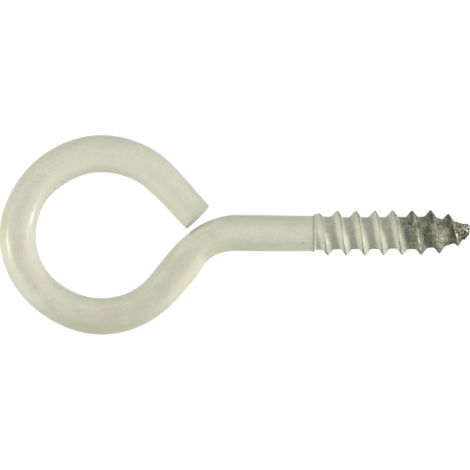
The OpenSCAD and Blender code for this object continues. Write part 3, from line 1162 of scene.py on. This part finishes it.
def coat_colour(finish):
    """The coat's colour: yellowed and dirty, with a painted highlight on the bead, grey in the roots,
    darkened by painted shade, and thin where the steel shows through.
    """
    tree = finish.tree
    values = finish.values
    yellow = values["yellow"]
    hue = noise_of(tree, finish.unrolled, HUE_SCALE, PLAIN_DETAIL)
    hue = sum_of(tree, hue, ramp_of(tree, finish.dip, *THREAD_HUE))
    hue = difference_of(tree, hue, product_of(tree, values["warm"], WARM_HUE))
    dull = mix_of(tree, ramp_of(tree, hue, HUE_RANGE), COAT_DULL_WARM, COAT_DULL_GREEN)
    dull = mix_of(tree, yellow, dull, COAT_DULL_YELLOW)
    clean = mix_of(tree, yellow, COAT_CLEAN, COAT_YELLOWED)
    coat = mix_of(tree, coat_lightness(finish), dull, clean)
    # Painted highlight on the bead of coat past the shoulder
    coat = mix_of(tree, ramp_of(tree, values["foot"], BEAD_RANGE), coat, COAT_BEAD_HIGHLIGHT)
    # Grey in the roots: thin coat, with painted shade
    greyed = product_of(tree, values["root"], ramp_of(tree, finish.mottle, *ROOT_MOTTLE))
    coat = mix_of(tree, greyed, coat, COAT_ROOT)
    # Painted shade darkens the coat
    coat = mix_of(tree, ramp_of(tree, values["grime"], *COAT_SHADE), coat, COAT_THIN_AND_SHADE)
    faded = ramp_of(tree, finish.dip, *FADED)
    faded = product_of(tree, faded, ramp_of(tree, finish.mottle, *FADED_MOTTLE))
    coat = mix_of(tree, faded, coat, COAT_FADED)
    # Thin coat on the crests and edges, with the painted shade at the rims and in the groove
    coat = mix_of(tree, finish.thin_and_shaded, coat, COAT_THIN_AND_SHADE)
    coat = mix_of(tree, ramp_of(tree, finish.specks, *DARK_SPECKS), coat, SPECK)
    chip = add_node(tree, "ShaderNodeVectorMath", {0: finish.unrolled, 1: CHIP_PLACE}, operation="DISTANCE")
    return mix_of(tree, ramp_of(tree, chip.outputs["Value"], *CHIP), coat, SPECK)


def steel_colour(finish):
    """The steel's colour: dark forged skin in patches, painted shade, rubs, a torn nib, and sparkles along
    the crests with painted highlights.
    """
    tree = finish.tree
    values = finish.values
    flecks = noise_of(tree, finish.unrolled, FLECK_SCALE, PLAIN_DETAIL)
    steel = mix_of(tree, ramp_of(tree, finish.gritty, FORGED_RANGE), STEEL_DARK, STEEL)
    # Painted shade darkens the steel
    steel = mix_of(tree, values["grime"], steel, STEEL_SHADE_AND_PIT)
    steel = mix_of(tree, finish.matt_rub, steel, STEEL_RUBBED)
    pitted = product_of(tree, values["torn"], ramp_of(tree, flecks, *PITS))
    steel = mix_of(tree, pitted, steel, STEEL_SHADE_AND_PIT)
    flecked = product_of(tree, values["torn"], ramp_of(tree, flecks, *FLECKS))
    flecked = product_of(tree, flecked, ramp_of(tree, values["grime"], *FLECKS_IN_SHADE))
    steel = mix_of(tree, flecked, steel, STEEL_FLECK)
    return mix_of(tree, finish.sparkle, steel, STEEL_BRIGHT)


def coated_steel():
    """Ivory coat over the wire, thin on sharp edges, with painted light and shade, giving way to rough bare
    steel past the dip line.
    """
    material = bpy.data.materials.new("ivory_coat_on_steel")
    material.use_nodes = True
    tree = material.node_tree
    tree.nodes.clear()
    finish = Finish(tree)
    edge = sum_of(tree, finish.dip, ramp_of(tree, finish.specks, NOISE_RANGE, EDGE_RAGGED))
    bare = ramp_of(tree, edge, EDGE_SOFT)
    peel = ramp_of(tree, finish.mottle, *PEEL)
    height = blend_of(tree, bare, peel, finish.gritty)
    bump = add_node(tree, "ShaderNodeBump", {"Height": height, "Strength": 1.0, "Distance": BUMP_DEPTH})
    coat_rough = ramp_of(tree, finish.rubs, NOISE_RANGE, COAT_ROUGH)
    coat_rough = sum_of(tree, coat_rough, ramp_of(tree, finish.dip, THREAD_PAST_DIP, THREAD_ROUGHER))
    steel_rough = ramp_of(tree, finish.polish, *STEEL_ROUGH)
    bright = difference_of(tree, bare, product_of(tree, finish.matt_rub, bare))
    metal = ramp_of(tree, finish.sparkle, *STEEL_METAL)
    lacquer = ramp_of(tree, finish.dip, THREAD_PAST_DIP, LACQUER)
    lacquer = product_of(tree, lacquer, ramp_of(tree, finish.thin_and_shaded, *LACQUER_WORN))
    shader = add_node(tree, "ShaderNodeBsdfPrincipled", {
        "Base Color": mix_of(tree, bare, coat_colour(finish), steel_colour(finish)),
        "Roughness": blend_of(tree, bare, coat_rough, steel_rough),
        "Metallic": product_of(tree, bright, metal),
        "Specular IOR Level": SHEEN_LEVEL,
        "Specular Tint": SHEEN_TINT,
        "Coat Weight": product_of(tree, lacquer, ramp_of(tree, bare, COAT_LEFT)),
        "Coat Roughness": LACQUER_ROUGH,
        "Normal": bump.outputs["Normal"],
    })
    output = add_node(tree, "ShaderNodeOutputMaterial")
    tree.links.new(shader.outputs["BSDF"], output.inputs["Surface"])
    return material


# Studio: a wide floor in metres, its paint and the white that the camera and mirrors see
FLOOR_HALF = 1.5
FLOOR_PAINT = (0.16, 0.16, 0.16, 1)
FLOOR_GLOW = 0.94
WHITE = (1, 1, 1, 1)

# Sides that the dome glows from: where each faces, and how bright it is there
DOME_SIDES = (
    ((1.0, 0.0, 0.0), 1.49),
    ((-1.0, 0.0, 0.0), 1.73),
    ((0.707, 0.707, 0.0), 0.53),
    ((-0.707, -0.707, 0.0), 0.2),
)

# Soft lamps: place from the middle of the picture and size, in millimetres, and brightness
LAMPS = {
    "left_lamp": ((-147, -13, 58), (36, 28), 14.0),
    "low_right_lamp": ((148, -50, 13), (33, 25), 35.0),
    "high_right_lamp": ((150, -8, 66), (60, 40), 4.5),
}


def lay_floor():
    """A wide white floor that the camera and mirrors see as white, with the part's soft shadow on it."""
    half = FLOOR_HALF
    corners = [(-half, -half, FLOOR_Z), (half, -half, FLOOR_Z), (half, half, FLOOR_Z), (-half, half, FLOOR_Z)]
    mesh = bpy.data.meshes.new("studio_floor")
    mesh.from_pydata(corners, [], [(0, 1, 2, 3)])
    floor = bpy.data.objects.new("studio_floor", mesh)
    bpy.context.scene.collection.objects.link(floor)
    material = bpy.data.materials.new("white_floor")
    material.use_nodes = True
    tree = material.node_tree
    tree.nodes.clear()
    path = add_node(tree, "ShaderNodeLightPath").outputs
    seen = greater_of(tree, path["Is Camera Ray"], path["Is Glossy Ray"])
    seen = greater_of(tree, seen, path["Is Transmission Ray"])
    paint = add_node(tree, "ShaderNodeBsdfDiffuse", {"Color": FLOOR_PAINT})
    strength = blend_of(tree, seen, 0.0, FLOOR_GLOW)
    glow = add_node(tree, "ShaderNodeEmission", {"Color": WHITE, "Strength": strength})
    lit = add_node(tree, "ShaderNodeAddShader", {0: paint.outputs[0], 1: glow.outputs[0]})
    output = add_node(tree, "ShaderNodeOutputMaterial")
    tree.links.new(lit.outputs[0], output.inputs["Surface"])
    mesh.materials.append(material)


def light_softbox(name, place, aim, size, radiance):
    """A rectangular soft lamp at a place, aimed at a point, all in millimetres, of the given brightness."""
    lamp = bpy.data.lights.new(name, "AREA")
    lamp.shape = "RECTANGLE"
    lamp.size, lamp.size_y = (v * MM for v in size)
    lamp.energy = radiance * math.pi * lamp.size * lamp.size_y
    thing = bpy.data.objects.new(name, lamp)
    thing.location = Vector(place) * MM
    thing.rotation_mode = "QUATERNION"
    thing.rotation_quaternion = (Vector(aim) - Vector(place)).to_track_quat("-Z", "Y")
    bpy.context.scene.collection.objects.link(thing)


def light_studio():
    """A pale dome that is brightest at the left and right, with soft lamps at those sides."""
    world = bpy.data.worlds.new("pale_dome")
    world.use_nodes = True
    tree = world.node_tree
    where = add_node(tree, "ShaderNodeTexCoord").outputs["Generated"]
    glow = 0.0
    for aim, brightness in DOME_SIDES:
        facing = add_node(tree, "ShaderNodeVectorMath", {0: where, 1: aim}, operation="DOT_PRODUCT")
        lobe = ramp_of(tree, facing.outputs["Value"], (0.0, 1.0), (0.0, brightness), "LINEAR")
        glow = sum_of(tree, glow, lobe)
    tree.links.new(glow, tree.nodes["Background"].inputs["Strength"])
    tree.nodes["Background"].inputs["Color"].default_value = WHITE
    bpy.context.scene.world = world
    x, y = PHOTO_CENTRE
    for name, (place, size, radiance) in LAMPS.items():
        light_softbox(name, (x + place[0], y + place[1], place[2]), (x, y, 0), size, radiance)


def place_camera():
    """Looks straight down, with the photograph's frame over the part's middle plane."""
    data = bpy.data.cameras.new("photo_camera")
    data.sensor_width = SENSOR_W
    data.lens = data.sensor_width * CAMERA_HEIGHT / (PHOTO_W * MM_PER_PIXEL)
    data.clip_start = CLIP_START
    camera = bpy.data.objects.new("photo_camera", data)
    camera.location = (PHOTO_CENTRE[0] * MM, PHOTO_CENTRE[1] * MM, CAMERA_HEIGHT * MM)
    bpy.context.scene.collection.objects.link(camera)
    bpy.context.scene.camera = camera


place_camera()
lay_floor()
light_studio()
bpy.context.scene.view_settings.view_transform = "Standard"

wire = make_skin()
wire.data.materials.append(coated_steel())
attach(wire, "root")
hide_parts("screw_eye")
